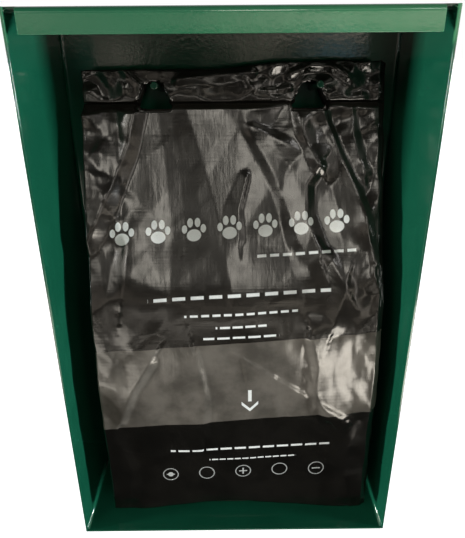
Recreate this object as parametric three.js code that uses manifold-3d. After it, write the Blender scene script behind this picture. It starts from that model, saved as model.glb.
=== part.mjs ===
// A wall- or post-mounted dispenser for pet-waste bags: an open-fronted box of powder-coated sheet
// steel, two pegs, and two packs of header bags hung on the pegs.
// Millimetres, +Z up. The front faces -Y, and the origin is the centre of the outer back face.
import * as THREE from "three";
import { mergeVertices } from "three/addons/utils/BufferGeometryUtils.js";
import Module from "manifold-3d";

const wasm = await Module();
wasm.setup();

// Housing
const WIDTH = 241.3;
const HEIGHT = 384;
const DEPTH = 101.6;
const SHEET = 1.5;
const BEND_RADIUS = 2;
const WELD_GAP = 0.3;
const LIP_HEIGHT = 13.7;
const LIP_LENGTH = 226;
const MOUNT_HOLE_RADIUS = 4.5;
const MOUNT_HOLE_SPACING = 254;

// Pegs, tilted up so that the packs stay on
const PEG_RADIUS = 2.4;
const PEG_LENGTH = 45;
const PEG_CHAMFER = 0.5;
const PEG_TILT = THREE.MathUtils.degToRad(8);
const PEG_SPACING = 108;
const PEG_OFFSET = 4;
const PEG_ROOT_Z = 140.7;

// Bags and packs
const BAG_WIDTH = 203.2;
const STACK_WIDTH = 201.6;
const PACK_X = 1.75;
const PACK_TOP = 157;
const BAG_BOTTOM = -180;
const TEAR_LINE = 134;
const TEAR_GAP = 0.4;
const FILM = 0.5;
const LAYER = 0.9;
const LOOSE_BAGS = ["front", "second", "third", "fourth", "fifth"];
const STAGGER = 0.6;
const STACK = 7;
const CARD = 0.8;
const TOUCH_GAP = 0.3;
const PACK_REAR = -4.1;
const REAR_PACK_SHARE = 0.45;
const PROFILE_STEPS = 22;

// Bell-shaped hanging hole: wide at the bottom, drawn in towards the peg at the top
const HOLE_SPACING = 108;
const HOLE_BOTTOM = 128;
const HOLE_TOP = 147.6;
const HOLE_HALF_BOTTOM = 13.2;
const HOLE_HALF_TOP = 7.5;
const HOLE_CORNER = 4;

const INNER_HALF_WIDTH = WIDTH / 2 - SHEET;
const HALF_HEIGHT = HEIGHT / 2;
const PANEL_HALF_WIDTH = INNER_HALF_WIDTH - WELD_GAP;

const powderCoat = new THREE.MeshStandardMaterial({ color: 0x165d46, roughness: 0.32, metalness: 0.1 });
const bagFilm = new THREE.MeshStandardMaterial({ color: 0x2e2b28, roughness: 0.3, metalness: 0 });
const cardboard = new THREE.MeshStandardMaterial({ color: 0x9a7b55, roughness: 0.9, metalness: 0 });

// ---- joining and cutting ----

function solidOf(geometry) {
  const bare = geometry.clone();
  bare.deleteAttribute("normal");
  bare.deleteAttribute("uv");
  const merged = mergeVertices(bare, 1e-4);
  return new wasm.Manifold(
    new wasm.Mesh({
      numProp: 3,
      vertProperties: new Float32Array(merged.attributes.position.array),
      triVerts: new Uint32Array(merged.index.array),
    }),
  );
}

function geometryOf(solid) {
  const mesh = solid.getMesh();
  const geometry = new THREE.BufferGeometry();
  geometry.setAttribute("position", new THREE.BufferAttribute(mesh.vertProperties, 3));
  geometry.setIndex(new THREE.BufferAttribute(mesh.triVerts, 1));
  geometry.computeVertexNormals();
  return geometry;
}

function cut(geometry, cutters) {
  return geometryOf(cutters.reduce((solid, cutter) => solid.subtract(solidOf(cutter)), solidOf(geometry)));
}

function join(first, second) {
  return geometryOf(solidOf(first).add(solidOf(second)));
}

// ---- extrusions along each axis ----

function extrude(shape, depth, curveSegments = 6) {
  return new THREE.ExtrudeGeometry(shape, { depth, bevelEnabled: false, curveSegments });
}

// The shape is drawn in Y and Z, and the solid is centred on X.
function extrudeAlongX(shape, width) {
  const turn = new THREE.Matrix4().makeBasis(
    new THREE.Vector3(0, 1, 0),
    new THREE.Vector3(0, 0, 1),
    new THREE.Vector3(1, 0, 0),
  );
  return extrude(shape, width).applyMatrix4(turn).translate(-width / 2, 0, 0);
}

// The shape is drawn in X and Z, and the solid runs from startY towards -Y.
function extrudeTowardsFront(shape, startY, length) {
  return extrude(shape, length).rotateX(Math.PI / 2).translate(0, startY, 0);
}

function mesh(name, geometry, material) {
  const made = new THREE.Mesh(geometry, material);
  made.name = name;
  return made;
}

// ---- housing ----

function mountHole(z) {
  const hole = new THREE.CylinderGeometry(MOUNT_HOLE_RADIUS, MOUNT_HOLE_RADIUS, 4 * SHEET, 24);
  return hole.translate(0, -SHEET / 2, z);
}

// The back and both sides are one sheet, folded with rounded corners.
function wrapPanel() {
  const side = WIDTH / 2;
  const outer = BEND_RADIUS + SHEET;
  const shape = new THREE.Shape();
  shape.moveTo(-side, -DEPTH);
  shape.lineTo(-INNER_HALF_WIDTH, -DEPTH);
  shape.lineTo(-INNER_HALF_WIDTH, -outer);
  shape.absarc(-INNER_HALF_WIDTH + BEND_RADIUS, -outer, BEND_RADIUS, Math.PI, Math.PI / 2, true);
  shape.lineTo(INNER_HALF_WIDTH - BEND_RADIUS, -SHEET);
  shape.absarc(INNER_HALF_WIDTH - BEND_RADIUS, -outer, BEND_RADIUS, Math.PI / 2, 0, true);
  shape.lineTo(INNER_HALF_WIDTH, -DEPTH);
  shape.lineTo(side, -DEPTH);
  shape.lineTo(side, -outer);
  shape.absarc(side - outer, -outer, outer, 0, Math.PI / 2, false);
  shape.lineTo(outer - side, 0);
  shape.absarc(outer - side, -outer, outer, Math.PI / 2, Math.PI, false);
  shape.closePath();
  const folded = extrude(shape, HEIGHT, 5).translate(0, 0, -HALF_HEIGHT);
  const holes = [MOUNT_HOLE_SPACING / 2, -MOUNT_HOLE_SPACING / 2].map(mountHole);
  return mesh("wrap_panel", cut(folded, holes), powderCoat);
}

// A flat sheet between the sides, from frontY to the back, with its rear corners cut to clear the folds.
// Its lower face is at height 0.
function plate(frontY) {
  const rearY = -SHEET - WELD_GAP;
  const cornerCut = BEND_RADIUS;
  const shape = new THREE.Shape();
  shape.moveTo(-PANEL_HALF_WIDTH, frontY);
  shape.lineTo(PANEL_HALF_WIDTH, frontY);
  shape.lineTo(PANEL_HALF_WIDTH, rearY - cornerCut);
  shape.lineTo(PANEL_HALF_WIDTH - cornerCut, rearY);
  shape.lineTo(cornerCut - PANEL_HALF_WIDTH, rearY);
  shape.lineTo(-PANEL_HALF_WIDTH, rearY - cornerCut);
  shape.closePath();
  return extrude(shape, SHEET);
}

// The roof is welded inside the top of the wrap, and its front edge is folded down as a lip.
function roofPanel() {
  const outer = BEND_RADIUS + SHEET;
  const foldY = outer - DEPTH;
  const roof = plate(foldY).translate(0, 0, -SHEET);
  const shape = new THREE.Shape();
  shape.moveTo(foldY + SHEET, 0);
  shape.lineTo(foldY, 0);
  shape.absarc(foldY, -outer, outer, Math.PI / 2, Math.PI, false);
  shape.lineTo(-DEPTH, -LIP_HEIGHT);
  shape.lineTo(SHEET - DEPTH, -LIP_HEIGHT);
  shape.lineTo(SHEET - DEPTH, -outer);
  shape.absarc(foldY, -outer, BEND_RADIUS, Math.PI, Math.PI / 2, true);
  shape.lineTo(foldY + SHEET, -SHEET);
  shape.closePath();
  const panel = mesh("roof_panel", join(roof, extrudeAlongX(shape, LIP_LENGTH)), powderCoat);
  panel.position.z = HALF_HEIGHT;
  return panel;
}

function floorPanel() {
  const panel = mesh("floor_panel", plate(-DEPTH), powderCoat);
  panel.position.z = -HALF_HEIGHT;
  return panel;
}

function peg(name, x) {
  const profile = [
    new THREE.Vector2(0, 0),
    new THREE.Vector2(PEG_RADIUS, 0),
    new THREE.Vector2(PEG_RADIUS, PEG_LENGTH - PEG_CHAMFER),
    new THREE.Vector2(PEG_RADIUS - PEG_CHAMFER, PEG_LENGTH),
    new THREE.Vector2(0, PEG_LENGTH),
  ];
  const made = mesh(name, new THREE.LatheGeometry(profile, 20), powderCoat);
  const rootClearance = WELD_GAP + PEG_RADIUS * Math.sin(PEG_TILT);
  made.rotation.x = Math.PI - PEG_TILT;
  made.position.set(x, -SHEET - rootClearance, PEG_ROOT_Z);
  return made;
}

// ---- bag packs ----

// Front surface of the hanging bags: [depth, height] from the top of the header to the bottom edge.
// The header hangs on the pegs near the wall and the loose film below fans out to the front.
const frontCurve = new THREE.SplineCurve([
  new THREE.Vector2(-24, PACK_TOP),
  new THREE.Vector2(-28, TEAR_LINE),
  new THREE.Vector2(-40, 92),
  new THREE.Vector2(-57, 49),
  new THREE.Vector2(-76, 4),
  new THREE.Vector2(-83.5, -57),
  new THREE.Vector2(-84, -120),
  new THREE.Vector2(-84.5, BAG_BOTTOM - 4),
]);
const frontPoints = frontCurve.getSpacedPoints(60);

function frontDepthAt(z) {
  const after = Math.max(1, frontPoints.findIndex((point) => point.y <= z));
  const high = frontPoints[after - 1];
  const low = frontPoints[after];
  return THREE.MathUtils.mapLinear(z, high.y, low.y, high.x, low.x);
}

// A solid between two surfaces that each give a depth for a height, from one height to another.
function slab(width, lowZ, highZ, frontAt, rearAt, steps) {
  const heights = Array.from({ length: steps + 1 }, (_, i) => lowZ + ((highZ - lowZ) * i) / steps);
  const front = heights.map((z) => new THREE.Vector2(frontAt(z), z));
  const rear = heights.map((z) => new THREE.Vector2(rearAt(z), z)).reverse();
  return extrudeAlongX(new THREE.Shape([...front, ...rear]), width);
}

function hangingHole(x) {
  const shape = new THREE.Shape();
  const rise = HOLE_TOP - HOLE_CORNER;
  shape.moveTo(x - HOLE_HALF_BOTTOM + HOLE_CORNER, HOLE_BOTTOM);
  shape.lineTo(x + HOLE_HALF_BOTTOM - HOLE_CORNER, HOLE_BOTTOM);
  shape.quadraticCurveTo(x + HOLE_HALF_BOTTOM, HOLE_BOTTOM, x + HOLE_HALF_BOTTOM, HOLE_BOTTOM + HOLE_CORNER);
  shape.lineTo(x + HOLE_HALF_TOP, rise);
  shape.quadraticCurveTo(x + HOLE_HALF_TOP, HOLE_TOP, x, HOLE_TOP);
  shape.quadraticCurveTo(x - HOLE_HALF_TOP, HOLE_TOP, x - HOLE_HALF_TOP, rise);
  shape.lineTo(x - HOLE_HALF_BOTTOM, HOLE_BOTTOM + HOLE_CORNER);
  shape.quadraticCurveTo(x - HOLE_HALF_BOTTOM, HOLE_BOTTOM, x - HOLE_HALF_BOTTOM + HOLE_CORNER, HOLE_BOTTOM);
  return extrudeTowardsFront(shape, 0, DEPTH);
}

const hangingHoles = [-HOLE_SPACING / 2, HOLE_SPACING / 2].map(hangingHole);

function punched(name, geometry, material, shiftX = 0) {
  const holes = hangingHoles.map((hole) => hole.clone().translate(-shiftX, 0, 0));
  const made = mesh(name, cut(geometry, holes), material);
  made.position.x = shiftX;
  return made;
}

// One loose bag: its header strip, and its body below the tear line.
function looseBag(order, index) {
  const frontAt = (z) => frontDepthAt(z) + index * LAYER;
  const rearAt = (z) => frontAt(z) + FILM;
  const shiftX = index * STAGGER;
  const bottom = BAG_BOTTOM - index * STAGGER;
  const header = slab(BAG_WIDTH, TEAR_LINE + TEAR_GAP, PACK_TOP, frontAt, rearAt, 2);
  const body = slab(BAG_WIDTH, bottom, TEAR_LINE - TEAR_GAP, frontAt, rearAt, PROFILE_STEPS);
  return [
    punched(`${order}_bag_header`, header, bagFilm, shiftX),
    punched(`${order}_bag`, body, bagFilm, shiftX),
  ];
}

// The bags still packed behind the loose ones, their header, and the card behind it.
function packCore(name, headerFront, headerRear, bagsFront, bagsRear, cardFront, cardRear) {
  const headerLow = TEAR_LINE + TEAR_GAP;
  const bagsLow = BAG_BOTTOM - LOOSE_BAGS.length * STAGGER;
  const header = slab(STACK_WIDTH, headerLow, PACK_TOP - 1, headerFront, headerRear, 2);
  const bags = slab(STACK_WIDTH, bagsLow, TEAR_LINE - TEAR_GAP, bagsFront, bagsRear, PROFILE_STEPS);
  const card = slab(STACK_WIDTH, headerLow, PACK_TOP, cardFront, cardRear, 2);
  return [
    punched(`${name}_header`, header, bagFilm),
    punched(`${name}_bags`, bags, bagFilm),
    punched(`${name}_card`, card, cardboard),
  ];
}

function frontPack() {
  const frontAt = (z) => frontDepthAt(z) + LOOSE_BAGS.length * LAYER;
  const rearAt = (z) => frontAt(z) + STACK;
  const cardFront = (z) => rearAt(z) + TOUCH_GAP;
  const cardRear = (z) => cardFront(z) + CARD;
  return packCore("front_pack", frontAt, rearAt, frontAt, rearAt, cardFront, cardRear);
}

function rearPack() {
  const beforeCard = LOOSE_BAGS.length * LAYER + STACK + CARD + 3 * TOUCH_GAP;
  const headerFront = (z) => frontDepthAt(z) + beforeCard;
  const bagsFront = (z) => PACK_REAR + REAR_PACK_SHARE * (frontDepthAt(z) - PACK_REAR);
  const bagsRear = (z) => bagsFront(z) + STACK;
  const cardFront = () => PACK_REAR + TOUCH_GAP;
  const cardRear = () => PACK_REAR + TOUCH_GAP + CARD;
  return packCore("rear_pack", headerFront, () => PACK_REAR, bagsFront, bagsRear, cardFront, cardRear);
}

// ---- the dispenser ----

const dispenser = new THREE.Group();
dispenser.add(wrapPanel(), roofPanel(), floorPanel());
dispenser.add(peg("peg_left", PEG_OFFSET - PEG_SPACING / 2), peg("peg_right", PEG_OFFSET + PEG_SPACING / 2));

const packs = new THREE.Group();
packs.position.x = PACK_X;
packs.add(...LOOSE_BAGS.flatMap(looseBag), ...frontPack(), ...rearPack());
dispenser.add(packs);

export default dispenser;
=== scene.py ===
import math

import bmesh
import bpy
import numpy as np
from mathutils import Matrix, Vector


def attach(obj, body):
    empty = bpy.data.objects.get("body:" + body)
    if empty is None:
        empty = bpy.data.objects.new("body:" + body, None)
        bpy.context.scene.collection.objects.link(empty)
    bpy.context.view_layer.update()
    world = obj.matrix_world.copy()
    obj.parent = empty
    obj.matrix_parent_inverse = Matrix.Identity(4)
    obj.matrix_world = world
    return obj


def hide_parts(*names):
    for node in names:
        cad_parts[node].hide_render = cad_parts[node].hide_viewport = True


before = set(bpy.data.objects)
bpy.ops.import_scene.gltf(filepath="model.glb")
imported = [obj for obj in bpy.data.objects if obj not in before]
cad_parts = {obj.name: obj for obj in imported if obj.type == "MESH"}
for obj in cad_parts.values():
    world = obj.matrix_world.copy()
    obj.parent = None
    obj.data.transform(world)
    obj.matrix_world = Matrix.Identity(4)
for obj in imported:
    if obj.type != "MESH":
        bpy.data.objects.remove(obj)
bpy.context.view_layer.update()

MM = 0.001

# Housing, in metres. The front faces -Y and the back lies at Y = 0.
HALF_WIDTH = 120.65 * MM
HALF_HEIGHT = 192 * MM
DEPTH = 101.6 * MM
SHEET = 1.5 * MM
OUTER_FOLD = 3.5 * MM
LIP_HALF = 113 * MM
LIP_HEIGHT = 13.7 * MM
BOLT_RADIUS = 4.5 * MM
BOLT_Z = 127 * MM

PEG_RADIUS = 2.4 * MM
PEG_LENGTH = 45 * MM
PEG_TILT = math.radians(8)
PEG_ROOT_Z = 140.7 * MM

# The hanging packs, in millimetres across and up the film, with 0 across at the pack's middle
PACK_X = 1.75
BAG_WIDTH = 203.2
TEAR_LINE = 134
BAG_BOTTOM = -180
LAYER_GAP = 0.9
FILM = 0.28
PACKED_WIDTH = 201.6
# what is left open at the tear line by a loose bag, below and above it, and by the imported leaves
TEAR_GAP_BELOW, TEAR_GAP_ABOVE = 0.3, 0.06
STACK_GAP = 0.4
# the hanging film drifts this far sideways over this height
LEAN, LEAN_RUN = 1.2, 157
# the print's map covers a square this wide
PRINT_SPAN = 400
HOLE_CENTRES = (-54, 54)
HOLE_OUTLINE = [(-9.2, 128), (9.2, 128), (12.2, 129), (13.2, 132), (10.4, 137.8), (7.5, 143.6), (6.2, 146.2), (3, 147.4), (0, 147.6)]
FRONT_CURVE = [(-24, 157), (-28, 134), (-40, 92), (-57, 49), (-76, 4), (-83.5, -57), (-84, -120), (-84.5, -184)]


# ---- soft numbers ----


def smooth_step(value, low, high):
    t = np.clip((value - low) / (high - low), 0, 1)
    return t * t * (3 - 2 * t)


def soft_noise(x, z, cell, seed):
    """Smooth noise from -1 to 1, with one hump or dip about every cell millimetres."""
    lattice = np.random.default_rng(seed).uniform(-1, 1, (64, 64))
    i, j = x / cell + 31, z / cell + 31
    a, b = np.floor(i).astype(int), np.floor(j).astype(int)
    u, v = i - a, j - b
    u, v = u * u * (3 - 2 * u), v * v * (3 - 2 * v)
    low = lattice[a % 64, b % 64] * (1 - u) + lattice[(a + 1) % 64, b % 64] * u
    high = lattice[a % 64, (b + 1) % 64] * (1 - u) + lattice[(a + 1) % 64, (b + 1) % 64] * u
    return low * (1 - v) + high * v


def crumple(x, z, size, seed, bend=0.45):
    """Flat facets with sharp creases between them, from triangle waves that cross at chance angles."""
    chance = np.random.default_rng(seed)
    total = np.zeros_like(x)
    for i in range(6):
        turn, start = chance.uniform(0, math.pi), chance.uniform(0, 1)
        length = size * chance.uniform(0.7, 2.1)
        wave = (x * math.cos(turn) + z * math.sin(turn)) / length + start
        wave = wave + bend * soft_noise(x, z, 2.3 * size, seed * 31 + i)
        total += length * (np.abs(wave % 1 - 0.5) - 0.25)
    return total / 6


def crease(x, z, points, widths, heights, lean=0.0):
    """A fold along a line of points: two flat flanks that meet in a sharp ridge. Lean makes one flank steeper."""
    total = np.zeros_like(x)
    runs = [math.dist(a, b) for a, b in zip(points, points[1:])]
    before = 0
    for (ax, az), (bx, bz), run in zip(points, points[1:], runs):
        along = np.clip(((x - ax) * (bx - ax) + (z - az) * (bz - az)) / run**2, 0, 1)
        off_x, off_z = x - ax - along * (bx - ax), z - az - along * (bz - az)
        side = np.sign(off_x * (bz - az) - off_z * (bx - ax))
        share = (before + along * run) / sum(runs)
        width = (widths[0] + (widths[1] - widths[0]) * share) * (1 + lean * side)
        height = heights[0] + (heights[1] - heights[0]) * share
        off = np.sqrt(off_x**2 + off_z**2 + 0.04) / width
        fold = height * np.clip(1 - off, 0, 1)
        total = np.where(height > 0, np.maximum(total, fold), np.minimum(total, fold))
        before += run
    return total


# ---- how the film hangs ----


def hanging_curve():
    """The front of the packs seen from the side, as depths for rising heights."""
    ends = [FRONT_CURVE[0], *FRONT_CURVE, FRONT_CURVE[-1]]
    points = np.array(ends, float)
    rows = []
    for i in range(1, len(points) - 2):
        for t in np.linspace(0, 1, 24, endpoint=False):
            a, b, c, d = points[i - 1 : i + 3]
            rows.append(0.5 * (2 * b + (c - a) * t + (2 * a - 5 * b + 4 * c - d) * t * t + (3 * b - a - 3 * c + d) * t**3))
    rows.append(points[-1])
    rows = np.array(rows)[::-1]
    return rows[:, 1], rows[:, 0]


CURVE_Z, CURVE_Y = hanging_curve()


def front_depth(z):
    return np.interp(z, CURVE_Z, CURVE_Y)


def front_tilt(z):
    """The direction out of the film at a height, as Y and Z."""
    slope = (front_depth(z + 2) - front_depth(z - 2)) / 4
    size = np.sqrt(1 + slope**2)
    return -1 / size, slope / size


def body_relief(x, z):
    """How far the loose film of the front bag stands off its flat shape, in millimetres."""
    drop = smooth_step(z, 134, 108)
    relief = 2.4 + 0.6 * drop * soft_noise(x, z * 0.8, 70, 3) + 0.2 * drop * soft_noise(x, z * 0.3, 27, 8)
    # the broad flank between the holes that turns to the light
    relief += crease(x, z, [(-34, 136), (-20, 92), (-8, 48), (0, -6)], (20, 52), (1.1, 3.2), -0.1)
    relief += crease(x, z, [(8, 122), (30, 84), (44, 44)], (6, 12), (0.5, 1.0), -0.3)
    relief += crease(x, z, [(10, 84), (4, 64), (4, 44)], (4, 9), (1.2, 1.0), 0.6)
    # the fold from the left hole to the left edge
    relief += crease(x, z, [(-66, 131), (-73, 104), (-87, 70), (-101, 44)], (18, 18), (4.2, 4.8), 0.5)
    relief += crease(x, z, [(-84, 60), (-74, 40), (-79, 8)], (14, 22), (1.6, 2.2), -0.5)
    # the folds from the right hole
    relief += crease(x, z, [(44, 131), (49, 112), (60, 92)], (7, 11), (2.0, 2.8), -0.4)
    relief += crease(x, z, [(60, 92), (51, 80), (51, 60), (60, 34)], (10, 15), (2.8, 2.2), 0.45)
    relief += crease(x, z, [(62, 130), (75, 98), (90, 66), (97, 30)], (6, 13), (2.2, 3.4), 0.55)
    relief += crease(x, z, [(82, 131), (84, 112), (91, 88)], (5, 11), (1.6, 1.8), 0.4)
    relief += crease(x, z, [(14, 118), (34, 108), (47, 101)], (5, 9), (0.9, 1.1), 0.3)
    relief += crease(x, z, [(66, 34), (78, 14), (70, -12)], (11, 18), (1.4, 2.2), 0.5)
    # the slack below the middle
    relief += crease(x, z, [(54, -22), (59, -44), (58, -66), (70, -90)], (12, 15), (3.2, 3.0), -0.6)
    relief += crease(x, z, [(2, -36), (36, -60), (80, -90)], (5, 8), (0.6, 1.1), 0.5)
    relief += crease(x, z, [(-62, -40), (-76, -62), (-88, -92)], (14, 12), (3.0, 2.4), 0.6)
    relief += crease(x, z, [(-30, -34), (-24, -70), (-26, -104)], (16, 18), (1.4, 1.8), 0.65)
    relief += crease(x, z, [(-92, -110), (-84, -140), (-88, -168)], (8, 12), (1.0, 2.0), 0.3)
    relief += crease(x, z, [(94, -98), (84, -130), (90, -170)], (8, 14), (1.2, 2.6), -0.3)
    # crumpled edges
    left = smooth_step(x, -64, -82) * smooth_step(z, 20, 70)
    right = smooth_step(x, 82, 96) * smooth_step(z, -60, 30)
    top = smooth_step(z, 104, 126) * smooth_step(x, -5, 40)
    relief += left * (0.3 * np.clip(-78 - x, 0, 30) + 0.45 * crumple(x, z, 30, 5, 0.2))
    relief += 0.6 * right * crumple(x, z * 0.5, 13, 11) + 0.4 * top * crumple(x, z, 22, 14, 0.2)
    relief += 0.14 * crumple(x, z * 0.8, 44, 21, 0.2) + 0.35 * smooth_step(np.abs(x), 62, 100) * crumple(x, z * 0.6, 24, 25, 0.3)
    band = smooth_step(z, 0, -20) * smooth_step(z, -120, -90)
    relief += band * smooth_step(x, -10, 60) * (0.16 * soft_noise(x, z * 0.16, 2.6, 31) + 0.4 * soft_noise(x, z * 0.3, 7, 33))
    return np.maximum(relief, 0.1)


def header_relief(x, z):
    """The relief of the header strip, which is creased along the pegs and bunched at its ends."""
    relief = 1.6 + (0.25 + 0.4 * smooth_step(x, 6, 30)) * crumple(x, z * 1.4, 14, 41, 0.2) + 0.3 * crumple(x, z, 28, 44, 0.2)
    relief += crease(x, z, [(-36, 149.5), (-10, 151.5), (13, 153.5)], (4.2, 4.6), (2.6, 2.3), 0.35)
    relief += crease(x, z, [(40, 152), (52, 157), (66, 157.5), (78, 151)], (4, 4), (2.4, 2.4), 0.35)
    relief += crease(x, z, [(-74, 156), (-62, 146), (-58, 134)], (3, 4), (1.5, 1.2), 0.4)
    relief += crease(x, z, [(10, 148), (14, 142), (10, 136)], (3, 3), (1.6, 1.0), 0.2)
    relief += crease(x, z, [(20, 141), (40, 143)], (2, 3), (1.1, 1.6), 0.2)
    relief += 0.8 * smooth_step(np.abs(x), 76, 96) * crumple(x, z, 12, 47)
    return np.maximum(relief, 0.1)


def top_edge(x):
    """The height of the header's upper edge, which rises towards the right-hand peg."""
    return 155 + 4.8 * smooth_step(x, -25, 52) + 0.7 * soft_noise(x, x * 0, 15, 51)


def bottom_edge(x, layer):
    lift = 6.5 * np.cos(np.clip(x / 112, -1, 1) * math.pi / 2) ** 2
    return BAG_BOTTOM - 3 + lift + 0.8 * soft_noise(x, x * 0 + layer, 24, 52) - 0.6 * layer


# ---- building pieces ----


def show(name, bm, material, body, nodes=()):
    """One finished piece from a bmesh, on its body, in place of its CAD nodes."""
    mesh = bpy.data.meshes.new(name)
    bm.to_mesh(mesh)
    bm.free()
    for face in mesh.polygons:
        face.use_smooth = True
    mesh.materials.append(material)
    made = bpy.data.objects.new(name, mesh)
    bpy.context.scene.collection.objects.link(made)
    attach(made, body)
    if nodes:
        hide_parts(*nodes)
    return made


def thicken(made, thickness, edge=0.0):
    """Gives a folded sheet its thickness on the inside, and rounds its cut edges."""
    solid = made.modifiers.new("thickness", "SOLIDIFY")
    solid.thickness = thickness
    solid.offset = -1
    if edge:
        rounding = made.modifiers.new("rounded edges", "BEVEL")
        rounding.width = edge
        rounding.segments = 3
        rounding.limit_method = "ANGLE"
        rounding.angle_limit = math.radians(50)
        made.modifiers.new("flat faces", "WEIGHTED_NORMAL").keep_sharp = True
    return made


def bent_line(bm, corners):
    """Edges through points, with a turn about a centre where a corner gives one: (centre, start angle, end angle)."""
    points = []
    for corner in corners:
        if len(corner) == 3 and isinstance(corner[0], Vector):
            centre, start, end = corner
            for i in range(9):
                angle = math.radians(start + (end - start) * i / 8)
                points.append(centre + OUTER_FOLD * Vector((math.cos(angle), math.sin(angle), 0)))
        else:
            points.append(Vector(corner))
    verts = [bm.verts.new(p) for p in points]
    return [bm.edges.new(pair) for pair in zip(verts, verts[1:])]


def sweep(bm, edges, direction):
    """Extrudes edges into faces."""
    made = bmesh.ops.extrude_edge_only(bm, edges=edges)["geom"]
    bmesh.ops.translate(bm, vec=direction, verts=[g for g in made if isinstance(g, bmesh.types.BMVert)])


def bolt_hole(bm, z):
    """Opens a round hole in the back panel."""
    reach = 3 * BOLT_RADIUS
    cuts = [((0, 0, z + side * reach), (0, 0, 1)) for side in (-1, 1)] + [((side * reach, 0, 0), (1, 0, 0)) for side in (-1, 1)]
    for point, normal in cuts:
        bmesh.ops.bisect_plane(bm, geom=bm.verts[:] + bm.edges[:] + bm.faces[:], plane_co=point, plane_no=normal)
    plate = min((f for f in bm.faces if abs(f.normal.y) > 0.9), key=lambda f: (f.calc_center_median() - Vector((0, 0, z))).length)
    square = list(plate.edges)
    bmesh.ops.delete(bm, geom=[plate], context="FACES_ONLY")
    turn = Matrix.Translation((0, 0, z)) @ Matrix.Rotation(math.pi / 2, 4, "X")
    circle = bmesh.ops.create_circle(bm, cap_ends=False, segments=32, radius=BOLT_RADIUS, matrix=turn)["verts"]
    ring = list({e for v in circle for e in v.link_edges})
    bmesh.ops.bridge_loops(bm, edges=square + ring)


def outward(bm, centre=(0, -0.05, 0)):
    """Turns all faces of an open sheet away from a point inside the housing."""
    for face in bm.faces:
        face.normal_update()
    for face in bm.faces:
        if face.normal.dot(face.calc_center_median() - Vector(centre)) < 0:
            face.normal_flip()


def wrap_panel(material):
    bm = bmesh.new()
    inner = HALF_WIDTH - OUTER_FOLD
    edges = bent_line(
        bm,
        [
            (-HALF_WIDTH, -DEPTH, 0),
            (Vector((-inner, -OUTER_FOLD, 0)), 180, 90),
            (Vector((inner, -OUTER_FOLD, 0)), 90, 0),
            (HALF_WIDTH, -DEPTH, 0),
        ],
    )
    bmesh.ops.translate(bm, vec=(0, 0, -HALF_HEIGHT), verts=bm.verts)
    sweep(bm, edges, (0, 0, 2 * HALF_HEIGHT))
    outward(bm)
    bolt_hole(bm, BOLT_Z)
    bolt_hole(bm, -BOLT_Z)
    bmesh.ops.remove_doubles(bm, verts=bm.verts, dist=0.01 * MM)
    bmesh.ops.dissolve_degenerate(bm, dist=0.01 * MM, edges=bm.edges)
    outward(bm)
    return thicken(show("wrap_panel_folded", bm, material, "housing", ["wrap_panel"]), SHEET, 0.35 * MM)


def clipped_rear_corners(bm, y, half):
    corners = [v for v in bm.verts if abs(v.co.y - y) < 1e-6 and abs(abs(v.co.x) - half) < 1e-6]
    bmesh.ops.bevel(bm, geom=corners, offset=2.2 * MM, affect="VERTICES", segments=1, profile=0.5, material=-1)


def roof_panel(material):
    bm = bmesh.new()
    half = HALF_WIDTH - SHEET
    fold_y = OUTER_FOLD - DEPTH
    # drawn flat as depth and height, then stood up across the box
    bent_line(bm, [(-SHEET, 0, 0), (fold_y, 0, 0), (Vector((fold_y, -OUTER_FOLD, 0)), 90, 180), (-DEPTH, -LIP_HEIGHT, 0)])
    bmesh.ops.remove_doubles(bm, verts=bm.verts, dist=1e-6)
    stood = Matrix(((0, 0, 1, -LIP_HALF), (1, 0, 0, 0), (0, 1, 0, HALF_HEIGHT), (0, 0, 0, 1)))
    bmesh.ops.transform(bm, matrix=stood, verts=bm.verts)
    sweep(bm, list(bm.edges), (2 * LIP_HALF, 0, 0))
    for side in (-1, 1):
        level_end = {v for v in bm.verts if abs(v.co.x - side * LIP_HALF) < 1e-6 and v.co.z > HALF_HEIGHT - 1e-6}
        flat = [e for e in bm.edges if e.is_boundary and level_end.issuperset(e.verts)]
        sweep(bm, flat, (side * (half - LIP_HALF), 0, 0))
    clipped_rear_corners(bm, -SHEET, half)
    outward(bm)
    return thicken(show("roof_panel_with_lip", bm, material, "housing", ["roof_panel"]), SHEET, 0.35 * MM)


def floor_panel(material):
    bm = bmesh.new()
    half = HALF_WIDTH - SHEET
    bmesh.ops.create_grid(bm, x_segments=1, y_segments=1, size=1)
    bmesh.ops.scale(bm, vec=(half, (DEPTH - SHEET) / 2, 1), verts=bm.verts)
    bmesh.ops.translate(bm, vec=(0, -(DEPTH + SHEET) / 2, -HALF_HEIGHT), verts=bm.verts)
    clipped_rear_corners(bm, -SHEET, half)
    outward(bm)
    return thicken(show("floor_panel_plate", bm, material, "housing", ["floor_panel"]), SHEET, 0.35 * MM)


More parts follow.
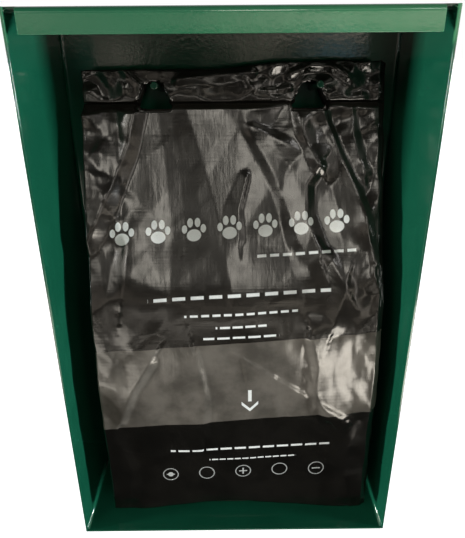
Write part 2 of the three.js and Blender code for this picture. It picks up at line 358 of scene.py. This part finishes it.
def weld_beads(material):
    """Painted fillets where the roof and the floor meet the sides and the back."""
    bm = bmesh.new()
    side, back = HALF_WIDTH - SHEET, -SHEET
    low, high = SHEET - HALF_HEIGHT, HALF_HEIGHT - SHEET
    runs = []
    for z, up in ((low, 1), (high, -1)):
        runs += [((s * side, -DEPTH + 1.5 * MM, z), (0, 1, 0), DEPTH - 8 * MM, (-s, 0, 0), (0, 0, up)) for s in (-1, 1)]
        runs.append(((-side + 5 * MM, back, z), (1, 0, 0), 2 * side - 10 * MM, (0, -1, 0), (0, 0, up)))
    for start, along, length, first, second in runs:
        start, along, first, second = map(Vector, (start, along, first, second))
        size = 1.3 * MM
        corner = start - 0.2 * MM * (first + second)
        hub = start + size * (first + second)
        curve = [hub - size * (math.sin(a) * second + math.cos(a) * first) for a in (i * math.pi / 12 for i in range(7))]
        ends = start + size * second - 0.2 * MM * first, start + size * first - 0.2 * MM * second
        face = bm.faces.new([bm.verts.new(p) for p in [corner, ends[0], *curve, ends[1]]])
        pushed = bmesh.ops.extrude_face_region(bm, geom=[face])["geom"]
        bmesh.ops.translate(bm, vec=along * length, verts=[g for g in pushed if isinstance(g, bmesh.types.BMVert)])
    bmesh.ops.remove_doubles(bm, verts=bm.verts, dist=1e-7)
    bmesh.ops.recalc_face_normals(bm, faces=bm.faces)
    return show("weld_beads", bm, material, "housing")


def peg(material, side, x):
    bm = bmesh.new()
    raised = Matrix.Translation((0, 0, PEG_LENGTH / 2))
    rod = {"segments": 40, "radius1": PEG_RADIUS, "radius2": PEG_RADIUS, "depth": PEG_LENGTH}
    bmesh.ops.create_cone(bm, cap_ends=True, matrix=raised, **rod)
    tip = [e for e in bm.edges if all(v.co.z > PEG_LENGTH - 1e-6 for v in e.verts)]
    bmesh.ops.bevel(bm, geom=tip, offset=0.8 * MM, affect="EDGES", segments=4, profile=0.5, material=-1)
    place = Matrix.Translation((x, -SHEET - 0.3 * MM, PEG_ROOT_Z)) @ Matrix.Rotation(math.pi / 2 - PEG_TILT, 4, "X")
    bmesh.ops.transform(bm, matrix=place, verts=bm.verts)
    made = show(f"peg_{side}_rod", bm, material, "housing", [f"peg_{side}"])
    made.modifiers.new("flat faces", "WEIGHTED_NORMAL")
    return made


def hole_edge(x, z, shift=0.0, wider=0.0):
    """Distance to the nearest hanging hole's edge, below zero inside it, and the nearest point on that edge."""
    half = np.array(HOLE_OUTLINE, float)
    half = half + np.sign(half) * [wider, 0]
    outline = np.vstack([half, half[-2::-1] * [-1, 1]])
    best, near_x, near_z = np.full(x.shape, 1e9), x.copy(), z.copy()
    inside = np.zeros(x.shape, bool)
    for centre in HOLE_CENTRES:
        ring = outline + [centre - shift, 0]
        within = np.zeros(x.shape, bool)
        for (ax, az), (bx, bz) in zip(ring, np.roll(ring, -1, axis=0)):
            if ax == bx and az == bz:
                continue
            t = np.clip(((x - ax) * (bx - ax) + (z - az) * (bz - az)) / ((bx - ax) ** 2 + (bz - az) ** 2), 0, 1)
            px, pz = ax + t * (bx - ax), az + t * (bz - az)
            off = np.hypot(x - px, z - pz)
            closer = off < best
            best, near_x, near_z = np.where(closer, off, best), np.where(closer, px, near_x), np.where(closer, pz, near_z)
            if az != bz:
                within ^= ((az > z) != (bz > z)) & (x < ax + (z - az) * (bx - ax) / (bz - az))
        inside |= within
    return np.where(inside, -best, best), near_x, near_z


def flat_sheet(width, low, high, cell, shift=0.0, wider=0.0):
    """A grid in millimetres, with its lower and upper edge given at each place across, and the hanging holes cut out."""
    bm = bmesh.new()
    columns = round(width / cell)
    middle = np.array([0.0])
    rows = round(float((high(middle) - low(middle))[0]) / cell)
    bmesh.ops.create_grid(bm, x_segments=columns, y_segments=rows, size=1)
    spot = np.array([v.co for v in bm.verts])
    x = spot[:, 0] * width / 2
    z = low(x) + (spot[:, 1] + 1) / 2 * (high(x) - low(x))
    off, near_x, near_z = hole_edge(x, z, shift, wider)
    snap = np.abs(off) < 0.55 * cell
    x, z = np.where(snap, near_x, x), np.where(snap, near_z, z)
    for vert, a, b in zip(bm.verts, x, z):
        vert.co = (a, 0, b)
    middles = np.array([f.calc_center_median() for f in bm.faces])
    inner = hole_edge(middles[:, 0], middles[:, 2], shift, wider)[0] < 0
    bmesh.ops.delete(bm, geom=[f for f, cut in zip(bm.faces[:], inner) if cut], context="FACES")
    seam = bm.loops.layers.uv.new("UVMap")
    for face in bm.faces:
        for loop in face.loops:
            loop[seam].uv = (loop.vert.co.x / PRINT_SPAN + 0.5, loop.vert.co.z / PRINT_SPAN + 0.5)
    return bm


def hang(bm, stand_off, layer=0, depth=front_depth, edge_wave=0.0):
    """Moves a flat sheet to its place in the pack: stand_off gives its distance out of the hanging curve."""
    x, _, z = np.array([v.co for v in bm.verts]).T
    out_y, out_z = front_tilt(z)
    off = stand_off(x, z)
    wave = edge_wave * smooth_step(np.abs(x), 60, 100) * soft_noise(z * 0 + layer * 9, z, 11, 61 + layer)
    across = x + PACK_X + wave - LEAN * (z - TEAR_LINE + LEAN_RUN) / LEAN_RUN
    for vert, a, b, c in zip(bm.verts, across, depth(z) + off * out_y, z + off * out_z):
        vert.co = (a * MM, b * MM, c * MM)
    for face in bm.faces:
        face.normal_update()
    if sum(f.normal.y for f in bm.faces) > 0:
        bmesh.ops.reverse_faces(bm, faces=bm.faces)


def loose_bag(order, layer, film):
    """One loose bag and its strip of the header. Each bag behind the front one lies a little lower and further right."""
    share = (1, 0.72, 0.5, 0.32, 0.18)[layer]
    step = 1.3 if layer == 0 else 2.6
    body = {0: "front_bag", 1: "second_bag"}.get(layer, "front_pack")
    shift = 1.05 * layer

    def low(x):
        return bottom_edge(x, layer)

    def tear_low(x):
        return np.full_like(x, TEAR_LINE - TEAR_GAP_BELOW)

    def tear_high(x):
        return np.full_like(x, TEAR_LINE + TEAR_GAP_ABOVE)

    def high(x):
        return top_edge(x) - 0.5 * layer

    def own(x, z):
        return 0.16 * soft_noise(x, z, 9, 70 + layer) if layer else 0 * x

    def body_off(x, z):
        # flat at the tear line, so that the bag can swing there without touching the header
        below = np.maximum(TEAR_LINE - z, 0)
        most = 0.1 + 0.35 * below + np.maximum(below - 2, 0)
        return np.minimum(share * body_relief(x, z), most) + own(x, z) - LAYER_GAP * layer

    def header_off(x, z):
        most = 0.1 + 0.5 * np.maximum(z - TEAR_LINE, 0)
        return np.minimum(share * header_relief(x, z), most) + own(x, z) - LAYER_GAP * layer

    parts = (("film", low, tear_low, body_off, step), ("header", tear_high, high, header_off, min(step, 1.5)))
    for part, lower, upper, off, fine in parts:
        bm = flat_sheet(BAG_WIDTH, lower, upper, fine, shift)
        hang(bm, off, layer=layer, edge_wave=0.35 + 0.5 * (layer > 0))
        bmesh.ops.translate(bm, vec=(shift * MM, 0, 0), verts=bm.verts)
        rides = body if part == "film" else "front_pack"
        node = f"{order}_bag" if part == "film" else f"{order}_bag_header"
        made = thicken(show(f"{node}_film", bm, film, rides, [node]), FILM * MM)


def leaves(name, node, body, film, first, count, pitch, low, high, depth, seed=0, cell=4.0):
    """A block of packed film: leaves that lie close together, with uneven edges.

    first is how far behind the hanging curve the front leaf lies.
    """
    whole = bmesh.new()
    for leaf in range(count):
        bm = flat_sheet(PACKED_WIDTH, low, high, cell)

        def off(x, z, leaf=leaf):
            folds = body_relief(x, z) if z.min() < 130 else header_relief(x, z)
            return 0.12 * folds * (leaf == 0) - first - leaf * pitch

        hang(bm, off, layer=leaf + seed, depth=depth, edge_wave=0.5)
        slip = np.random.default_rng(seed * 100 + leaf).uniform(-0.7, 0.7, 2)
        bmesh.ops.translate(bm, vec=(slip[0] * MM, 0, 0.5 * slip[1] * MM), verts=bm.verts)
        part = bpy.data.meshes.new("leaf")
        bm.to_mesh(part)
        bm.free()
        whole.from_mesh(part)
        bpy.data.meshes.remove(part)
    made = show(name, whole, film, body, [node])
    return thicken(made, 0.86 * pitch * MM)


def level(value):
    return lambda x: np.full_like(x, value)


def card(name, node, body, material, depth, first):
    bm = flat_sheet(PACKED_WIDTH, level(TEAR_LINE + STACK_GAP), level(151.5), 2.5, wider=3)
    hang(bm, lambda x, z: 0 * x - first, depth=depth)
    return thicken(show(name, bm, material, body, [node]), 0.8 * MM, 0.12 * MM)


def rear_depth(z):
    return -4.1 + 0.45 * (front_depth(z) + 4.1)


def wall_depth(z):
    return 0 * z - 3.9


# ---- finishes ----


class Sums:
    """Builds the number nodes of one finish or pattern."""

    def __init__(self, tree):
        self.tree = tree

    def node(self, kind, **settings):
        made = self.tree.nodes.new(kind)
        for key, value in settings.items():
            setattr(made, key, value)
        return made

    def fill(self, socket, value):
        if isinstance(value, bpy.types.NodeSocket):
            self.tree.links.new(value, socket)
        else:
            socket.default_value = value

    def do(self, operation, *values):
        made = self.node("ShaderNodeMath", operation=operation)
        for socket, value in zip(made.inputs, values):
            self.fill(socket, value)
        return made.outputs[0]

    def add(self, *values):
        total = values[0]
        for value in values[1:]:
            total = self.do("ADD", total, value)
        return total

    def times(self, *values):
        total = values[0]
        for value in values[1:]:
            total = self.do("MULTIPLY", total, value)
        return total

    def most(self, *values):
        total = values[0]
        for value in values[1:]:
            total = self.do("MAXIMUM", total, value)
        return total

    def ramp(self, value, low, high, start=0.0, end=1.0):
        made = self.node("ShaderNodeMapRange", interpolation_type="SMOOTHSTEP")
        for socket, given in zip(made.inputs, (value, low, high, start, end)):
            self.fill(socket, given)
        return made.outputs[0]

    def noise(self, vector, scale, detail=2.0, rough=0.5):
        made = self.node("ShaderNodeTexNoise")
        self.fill(made.inputs["Vector"], vector)
        made.inputs["Scale"].default_value = scale
        made.inputs["Detail"].default_value = detail
        made.inputs["Roughness"].default_value = rough
        return made.outputs["Fac"]

    def cracks(self, vector, scale):
        made = self.node("ShaderNodeTexVoronoi", feature="DISTANCE_TO_EDGE")
        self.fill(made.inputs["Vector"], vector)
        made.inputs["Scale"].default_value = scale
        return made.outputs["Distance"]

    def stretched(self, vector, scale):
        made = self.node("ShaderNodeVectorMath", operation="MULTIPLY")
        self.fill(made.inputs[0], vector)
        made.inputs[1].default_value = scale
        return made.outputs[0]

    def mix(self, factor, first, second):
        made = self.node("ShaderNodeMix", data_type="RGBA")
        self.fill(made.inputs[0], factor)
        self.fill(made.inputs[6], first)
        self.fill(made.inputs[7], second)
        return made.outputs[2]

    def ellipse(self, x, z, centre, radii, soft=0.12):
        """1 inside an ellipse and 0 outside, with a soft edge."""
        across = self.times(self.add(x, -centre[0]), 1 / radii[0])
        up = self.times(self.add(z, -centre[1]), 1 / radii[1])
        reach = self.add(self.times(across, across), self.times(up, up))
        return self.ramp(reach, 1 + soft, 1 - soft)

    def box(self, x, z, centre, halves, edge=0.25):
        across = self.add(self.do("ABSOLUTE", self.add(x, -centre[0])), -halves[0])
        up = self.add(self.do("ABSOLUTE", self.add(z, -centre[1])), -halves[1])
        return self.ramp(self.most(across, up), edge, -edge)


NUMBER = "NodeSocketFloat"


def shared_group(name, **outputs):
    """A node group that reads a place, and the tools to wire it."""
    tree = bpy.data.node_groups.new(name, "ShaderNodeTree")
    tree.interface.new_socket("Vector", in_out="INPUT", socket_type="NodeSocketVector")
    for title, kind in outputs.items():
        tree.interface.new_socket(title, in_out="OUTPUT", socket_type=kind)
    return Sums(tree), tree.nodes.new("NodeGroupInput").outputs, tree.nodes.new("NodeGroupOutput").inputs


def powder_coat_group():
    """Dark green powder coat: orange-peel skin, faint mottling and smudges, and a painted highlight on the front lip,
    brighter towards the right.
    """
    sums, given, made = shared_group("powder_coat_skin", Color="NodeSocketColor", Roughness=NUMBER, Height=NUMBER)
    place = given["Vector"]
    broad = sums.noise(place, 22, 3)
    fine = sums.noise(place, 900, 2)
    grain = sums.ramp(fine, 0.3, 0.75)
    green = sums.mix(sums.ramp(broad, 0.35, 0.7), (0.0045, 0.064, 0.036, 1), (0.0068, 0.077, 0.044, 1))
    green = sums.mix(sums.times(grain, 0.35), green, (0.006, 0.085, 0.046, 1))
    smudge = sums.noise(sums.stretched(place, (1, 1, 0.35)), 38, 4)
    # painted highlight: the front lip is painted lighter where the light falls on it, more towards the right
    split = sums.node("ShaderNodeSeparateXYZ")
    sums.fill(split.inputs[0], place)
    lip_painted_highlight = sums.mix(sums.ramp(split.outputs[0], -0.1, 0.11), (0.018, 0.125, 0.062, 1), (0.05, 0.205, 0.1, 1))
    on_lip = sums.times(sums.ramp(split.outputs[1], -0.0985, -0.1), sums.ramp(split.outputs[2], 0.17, 0.176))
    # the lip's painted highlight is laid over the green here, mottled by the smudges
    sums.fill(made["Color"], sums.mix(sums.times(on_lip, sums.ramp(smudge, 0.2, 0.6, 0.75, 1)), green, lip_painted_highlight))
    sums.fill(made["Roughness"], sums.add(0.09, sums.times(sums.ramp(smudge, 0.45, 0.8), 0.07), sums.times(grain, 0.03)))
    sums.fill(made["Height"], sums.add(sums.noise(place, 420, 2), sums.times(sums.noise(place, 60, 1), 1.6)))
    return sums.tree


def film_skin_group():
    """The skin of thin film: fine draw lines, small crinkles and vertical puckers."""
    sums, given, made = shared_group("film_skin", Tone=NUMBER, Roughness=NUMBER, Height=NUMBER)
    place = given["Vector"]
    waves = sums.noise(sums.stretched(place, (1, 0.3, 1)), 70, 4, 0.6)
    creases = sums.do("MINIMUM", sums.cracks(sums.stretched(place, (1, 0.62, 1)), 24), 0.22)
    small = sums.do("MINIMUM", sums.cracks(sums.stretched(place, (1, 0.5, 1)), 75), 0.2)
    lines = sums.noise(sums.stretched(place, (0.03, 1, 1)), 260, 2)
    puckers = sums.noise(sums.stretched(place, (1, 0.09, 1)), 190, 2)
    shares = ((waves, 0.2), (creases, 0.16), (small, 0.04), (lines, 0.08), (puckers, 0.07))
    sums.fill(made["Height"], sums.add(*[sums.times(*share) for share in shares]))
    sums.fill(made["Tone"], sums.noise(place, 16, 5, 0.55))
    sums.fill(made["Roughness"], sums.add(0.16, sums.times(sums.ramp(sums.noise(place, 34, 4), 0.35, 0.75), 0.09)))
    return sums.tree


def print_group():
    """A light unprinted band, a black foot, and plain marks: paws, rows of dashes, an arrow and simple signs."""
    sums, given, made = shared_group("bag_print", Band=NUMBER, Foot=NUMBER, Ink=NUMBER)
    split = sums.node("ShaderNodeSeparateXYZ")
    sums.fill(split.inputs[0], given["Vector"])
    x = sums.times(sums.add(split.outputs[0], -0.5), PRINT_SPAN)
    height = sums.times(sums.add(split.outputs[1], -0.5), PRINT_SPAN)
    # the print runs a little uphill to the right
    z = sums.add(height, sums.times(x, -0.05))
    band_z = sums.add(height, sums.times(x, -0.07))
    sums.fill(made["Band"], sums.times(sums.ramp(band_z, -25.0, -25.5), sums.ramp(band_z, -92.2, -91.6)))
    sums.fill(made["Foot"], sums.ramp(band_z, -91.6, -92.2))

    def away(middle):
        """Distance across from a place."""
        return sums.do("ABSOLUTE", sums.add(x, -middle))

    def beyond(mask):
        return sums.do("SUBTRACT", 1.0, mask)

    # seven paw prints
    pitch = 25
    cell = sums.do("FLOORED_MODULO", sums.add(x, 3 + pitch / 2 + 4 * pitch), pitch)
    paw_x, paw_z = sums.add(cell, -pitch / 2), sums.add(z, -52)
    pads = [((0, -3.0), (5.0, 3.9))]
    pads += [((s * 2.6, 5.2), (2.0, 3.0)) for s in (-1, 1)] + [((s * 6.6, 1.2), (1.9, 2.7)) for s in (-1, 1)]
    paws = sums.most(*[sums.ellipse(paw_x, paw_z, *pad) for pad in pads])
    paws = sums.times(paws, sums.ramp(away(-3), 87.4, 87))

    def dashes(middle, half, height, thick, pitch, share=0.7):
        """A row of short plain dashes."""
        step = sums.do("FLOORED_MODULO", sums.add(x, 200), pitch)
        long = pitch * share
        return sums.times(sums.box(x, z, (middle, height), (half, thick)), sums.ramp(step, long + 0.2, long - 0.2))

    rows = sums.most(
        dashes(50, 35, 33, 0.9, 9),
        dashes(3, 64, 9, 1.1, 13),
        dashes(4, 40, -3.5, 0.8, 8),
        dashes(4, 18, -12.5, 0.8, 9, 0.8),
        dashes(4, 27, -20.5, 0.8, 11, 0.8),
        dashes(10, 62, -119, 0.9, 11, 0.8),
        dashes(12, 34, -129.5, 0.6, 6, 0.8),
    )
    shaft = sums.box(x, z, (10, -70), (1.3, 5))
    chevron = sums.add(away(10), sums.times(z, -1), -81.5)
    head = sums.times(sums.ramp(sums.do("ABSOLUTE", sums.add(chevron, -1.2)), 1.6, 1.2), sums.ramp(away(10), 6.4, 6))
    arrow = sums.most(shaft, head)

    # five rings: a dot and a bar in the first, a cross in the middle one, a bar in the last
    gap = 29
    sign_cell = sums.do("FLOORED_MODULO", sums.add(x, -4.5 + gap / 2 + 4 * gap), gap)
    sign_x, sign_z = sums.add(sign_cell, -gap / 2), sums.add(z, 143)
    hollow = beyond(sums.ellipse(sign_x, sign_z, (0, 0), (5.6, 5.6)))
    ring = sums.times(sums.ellipse(sign_x, sign_z, (0, 0), (6.2, 6.2)), hollow)
    dot = sums.ellipse(sign_x, sign_z, (0, 0), (2.2, 2.2))
    bar = sums.box(sign_x, sign_z, (0, 0), (3.2, 0.5))
    post = sums.box(sign_x, sign_z, (0, 0), (0.5, 3.2))
    left_dot = sums.times(dot, sums.ramp(x, -38, -39))
    crosses = sums.times(sums.most(bar, post), sums.ramp(away(4.5), 16, 15))
    bars = sums.times(bar, beyond(sums.ramp(away(4.5), 44, 43)))
    signs = sums.times(sums.most(ring, left_dot, crosses, bars), sums.ramp(away(4.5), 72, 71))
    worn = sums.ramp(sums.noise(given["Vector"], 500, 3), 0.3, 0.4)
    ink = sums.times(sums.most(paws, rows, arrow, sums.times(signs, 0.6)), sums.add(0.75, sums.times(worn, 0.25)))
    sums.fill(made["Ink"], ink)
    return sums.tree


def finish_material(name, **constants):
    """A new material with its shader, and the tools to wire it."""
    made = bpy.data.materials.new(name)
    made.use_nodes = True
    tree = made.node_tree
    shader = tree.nodes["Principled BSDF"]
    for key, value in constants.items():
        shader.inputs[key.replace("_", " ")].default_value = value
    return made, Sums(tree), shader


def relief(sums, shader, height, distance, strength):
    bump = sums.node("ShaderNodeBump")
    bump.inputs["Distance"].default_value = distance
    bump.inputs["Strength"].default_value = strength
    sums.fill(bump.inputs["Height"], height)
    sums.fill(shader.inputs["Normal"], bump.outputs["Normal"])


def powder_coat():
    made, sums, shader = finish_material("green_powder_coat", Metallic=0.0)
    skin = sums.node("ShaderNodeGroup", node_tree=powder_coat_group())
    sums.fill(skin.inputs["Vector"], sums.node("ShaderNodeTexCoord").outputs["Object"])
    sums.fill(shader.inputs["Base Color"], skin.outputs["Color"])
    sums.fill(shader.inputs["Roughness"], skin.outputs["Roughness"])
    relief(sums, shader, skin.outputs["Height"], 0.00012, 0.35)
    return made


def bag_film():
    made, sums, shader = finish_material("black_bag_film", Metallic=0.0)
    place = sums.node("ShaderNodeTexCoord").outputs["UV"]
    skin = sums.node("ShaderNodeGroup", node_tree=film_skin_group())
    marks = sums.node("ShaderNodeGroup", node_tree=print_group())
    for node in (skin, marks):
        sums.fill(node.inputs["Vector"], place)
    tone = sums.ramp(skin.outputs["Tone"], 0.3, 0.7)
    dark = sums.mix(tone, (0.008, 0.0072, 0.006, 1), (0.017, 0.0152, 0.0128, 1))
    light = sums.mix(tone, (0.062, 0.0575, 0.05, 1), (0.135, 0.125, 0.11, 1))
    foot = sums.mix(tone, (0.003, 0.0029, 0.0025, 1), (0.006, 0.0056, 0.0048, 1))
    colour = sums.mix(marks.outputs["Band"], dark, light)
    colour = sums.mix(marks.outputs["Foot"], colour, foot)
    colour = sums.mix(marks.outputs["Ink"], colour, (0.8, 0.84, 0.84, 1))
    sums.fill(shader.inputs["Base Color"], colour)
    sums.fill(shader.inputs["Roughness"], skin.outputs["Roughness"])
    relief(sums, shader, skin.outputs["Height"], 0.0011, 0.5)
    return made


def packed_film():
    """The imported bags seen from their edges: the same film without print, in many thin lines."""
    made, sums, shader = finish_material("packed_bag_film", Metallic=0.0)
    skin = sums.node("ShaderNodeGroup", node_tree=film_skin_group())
    sums.fill(skin.inputs["Vector"], sums.node("ShaderNodeTexCoord").outputs["UV"])
    tone = sums.ramp(skin.outputs["Tone"], 0.3, 0.7)
    sums.fill(shader.inputs["Base Color"], sums.mix(tone, (0.014, 0.0125, 0.011, 1), (0.03, 0.027, 0.023, 1)))
    sums.fill(shader.inputs["Roughness"], skin.outputs["Roughness"])
    relief(sums, shader, skin.outputs["Height"], 0.001, 0.4)
    return made


def card_board():
    made, sums, shader = finish_material("header_card_board", Metallic=0.0)
    place = sums.node("ShaderNodeTexCoord").outputs["Object"]
    fibres = sums.noise(sums.stretched(place, (1, 1, 6)), 260, 6, 0.7)
    flecks = sums.ramp(sums.noise(place, 900, 2), 0.66, 0.72)
    board = sums.mix(fibres, (0.36, 0.25, 0.15, 1), (0.5, 0.37, 0.23, 1))
    sums.fill(shader.inputs["Base Color"], sums.mix(sums.times(flecks, 0.5), board, (0.2, 0.13, 0.07, 1)))
    sums.fill(shader.inputs["Roughness"], sums.add(0.8, sums.times(fibres, 0.15)))
    relief(sums, shader, fibres, 0.0003, 0.5)
    return made


# ---- studio ----


def add_camera():
    data = bpy.data.cameras.new("camera")
    data.lens = 36
    data.sensor_width = 36
    data.clip_start, data.clip_end = 0.01, 50
    camera = bpy.data.objects.new("camera", data)
    camera.location = (-0.0012, -0.4126, 0.1822)
    aim, tip, roll = (Matrix.Rotation(math.radians(a), 3, axis) for a, axis in ((-0.19, "Z"), (90 - 24.37, "X"), (-0.44, "Z")))
    camera.rotation_euler = (aim @ tip @ roll).to_euler()
    bpy.context.scene.collection.objects.link(camera)
    bpy.context.scene.camera = camera


def area_light(name, place, target, size, power, colour=(1, 1, 1)):
    data = bpy.data.lights.new(name, "AREA")
    data.shape = "RECTANGLE"
    data.size, data.size_y = size
    data.energy = power
    data.color = colour
    light = bpy.data.objects.new(name, data)
    light.location = place
    light.rotation_euler = (Vector(target) - Vector(place)).to_track_quat("-Z", "Y").to_euler()
    bpy.context.scene.collection.objects.link(light)


def studio_floor():
    """A plain pale floor. In reflections it is dark, with soft sunlit patches in front."""
    bm = bmesh.new()
    bmesh.ops.create_grid(bm, x_segments=1, y_segments=1, size=6)
    bmesh.ops.translate(bm, vec=(0, 0, -HALF_HEIGHT - 0.5 * MM), verts=bm.verts)
    mesh = bpy.data.meshes.new("studio_floor")
    bm.to_mesh(mesh)
    bm.free()
    floor = bpy.data.objects.new("studio_floor", mesh)
    bpy.context.scene.collection.objects.link(floor)
    made, sums, shader = finish_material("pale_floor", Roughness=0.9)
    rays = sums.node("ShaderNodeLightPath")
    split = sums.node("ShaderNodeSeparateXYZ")
    sums.fill(split.inputs[0], sums.node("ShaderNodeTexCoord").outputs["Object"])
    x, y = split.outputs[:2]
    sunny = sums.add(
        sums.ellipse(x, y, (0.26, -0.36), (0.13, 0.13), 0.6),
        sums.times(sums.ellipse(x, y, (-0.3, -0.4), (0.16, 0.14), 0.7), 0.35),
        sums.times(sums.ellipse(x, y, (-0.05, -0.9), (0.3, 0.14), 0.35), 0.22),
    )
    seen = rays.outputs["Is Camera Ray"]
    sums.fill(shader.inputs["Base Color"], sums.mix(seen, (0.04, 0.038, 0.036, 1), (0.8, 0.8, 0.8, 1)))
    reflected = sums.mix(sums.times(sunny, rays.outputs["Is Glossy Ray"]), (0, 0, 0, 1), (22, 20.5, 18, 1))
    sums.fill(shader.inputs["Emission Color"], sums.mix(seen, reflected, (1.6, 1.6, 1.6, 1)))
    shader.inputs["Emission Strength"].default_value = 0.62
    mesh.materials.append(made)


def studio_air():
    """White behind the object. For light and reflections, a dim room.

    It has a tall warm window in front, a thin bright horizon, and small soft patches near eye level.
    """
    world = bpy.data.worlds.new("studio")
    bpy.context.scene.world = world
    world.use_nodes = True
    sums = Sums(world.node_tree)
    background = world.node_tree.nodes["Background"]
    direction = sums.node("ShaderNodeTexCoord").outputs["Generated"]
    split = sums.node("ShaderNodeSeparateXYZ")
    sums.fill(split.inputs[0], direction)
    across, back, up = split.outputs

    def tinted(amount, colour):
        made = sums.node("ShaderNodeVectorMath", operation="SCALE")
        made.inputs[0].default_value = colour
        sums.fill(made.inputs["Scale"], amount)
        return made.outputs[0]

    def patch(turn, height, power, colour):
        """A soft round patch of light, in degrees to the right of straight ahead and above the horizon."""
        a, e = math.radians(turn), math.radians(height)
        dot = sums.node("ShaderNodeVectorMath", operation="DOT_PRODUCT")
        sums.fill(dot.inputs[0], direction)
        dot.inputs[1].default_value = (math.sin(a) * math.cos(e), -math.cos(a) * math.cos(e), math.sin(e))
        return tinted(sums.do("POWER", sums.do("MAXIMUM", dot.outputs["Value"], 0.0), power), colour)

    in_front = sums.ramp(back, 0.0, -0.6)
    window = sums.times(sums.ramp(across, -0.045, 0.0), sums.ramp(across, 0.15, 0.1))
    turned = sums.add(0.07, window, sums.ramp(across, -0.26, -0.4, 0, 0.45))
    glow = sums.times(sums.ramp(up, 0.29, 0.36), sums.ramp(up, 0.62, 0.5), turned, in_front)
    level_band = sums.times(sums.ramp(up, -0.02, 0.0), sums.ramp(up, 0.05, 0.032))
    horizon = sums.times(level_band, sums.ramp(across, -0.2, 0.26, 0.25, 1.5), in_front)
    behind = sums.times(sums.ramp(back, 0.05, 0.7), sums.ramp(up, -0.5, 0.6, 0.45, 1))
    parts = [
        tinted(sums.ramp(up, -0.2, 0.5, 0.012, 0.05), (0.95, 1, 0.98)),
        tinted(glow, (7.2, 6.8, 6.0)),
        tinted(horizon, (2.2, 1.95, 1.6)),
        tinted(behind, (0.75, 0.76, 0.78)),
        patch(-24, 2, 60, (1.1, 0.95, 0.8)),
        patch(-11, -5.5, 1200, (8.5, 7.6, 6.4)),
        patch(3, -5.5, 1200, (7.5, 6.7, 5.4)),
        patch(10.5, -5.5, 1200, (3.6, 7.0, 8.2)),
        patch(30, 13, 130, (5.4, 5.0, 4.5)),
    ]
    total = parts[0]
    for part in parts[1:]:
        added = sums.node("ShaderNodeVectorMath", operation="ADD")
        sums.fill(added.inputs[0], total)
        sums.fill(added.inputs[1], part)
        total = added.outputs[0]
    rays = sums.node("ShaderNodeLightPath")
    dimmed = sums.node("ShaderNodeVectorMath", operation="SCALE")
    sums.fill(dimmed.inputs[0], total)
    sums.fill(dimmed.inputs["Scale"], sums.ramp(rays.outputs["Is Diffuse Ray"], 0, 1, 1, 0.3))
    sums.fill(background.inputs["Color"], sums.mix(rays.outputs["Is Camera Ray"], dimmed.outputs[0], (1, 1, 1, 1)))


# ---- the dispenser ----

green = powder_coat()
film = bag_film()
packed = packed_film()
board = card_board()

wrap_panel(green)
roof_panel(green)
floor_panel(green)
weld_beads(green)
peg(green, "left", -0.050)
peg(green, "right", 0.058)

for index, order in enumerate(("front", "second", "third", "fourth", "fifth")):
    loose_bag(order, index, film)

stack_low, stack_high = level(BAG_BOTTOM - 3), level(TEAR_LINE - STACK_GAP)
header_low, header_high = level(TEAR_LINE + STACK_GAP), level(155.5)
bag_span, header_span = (stack_low, stack_high), (header_low, header_high)
leaves("front_pack_leaves", "front_pack_bags", "front_pack", packed, 4.6, 6, 1.12, *bag_span, front_depth, seed=1)
leaves("front_pack_header_leaves", "front_pack_header", "front_pack", packed, 4.6, 6, 1.12, *header_span, front_depth, seed=2, cell=2.5)
card("front_pack_card_board", "front_pack_card", "front_pack", board, front_depth, 11.8)
leaves("rear_pack_leaves", "rear_pack_bags", "rear_pack", packed, 0.0, 6, 1.12, *bag_span, rear_depth, seed=3)
leaves("rear_pack_header_leaves", "rear_pack_header", "rear_pack", packed, 13.4, 5, 1.4, *header_span, front_depth, seed=4, cell=2.5)
card("rear_pack_card_board", "rear_pack_card", "rear_pack", board, wall_depth, 0)

add_camera()
studio_floor()
studio_air()
area_light("left_window", (-1.95, -0.54, -0.06), (0, -0.08, -0.06), (0.22, 0.24), 58, (1, 0.99, 0.96))
area_light("right_window", (1.95, -0.54, -0.06), (0, -0.08, -0.06), (0.22, 0.24), 64, (0.97, 1, 1))
area_light("left_lamp", (-0.75, -1.0, 0.75), (0, -0.04, 0.1), (0.14, 0.14), 0.8, (1, 0.97, 0.93))
area_light("right_lamp", (0.55, -1.1, 0.95), (0, -0.04, 0.1), (0.14, 0.14), 0.8, (1, 0.97, 0.93))

bpy.context.scene.view_settings.view_transform = "Standard"
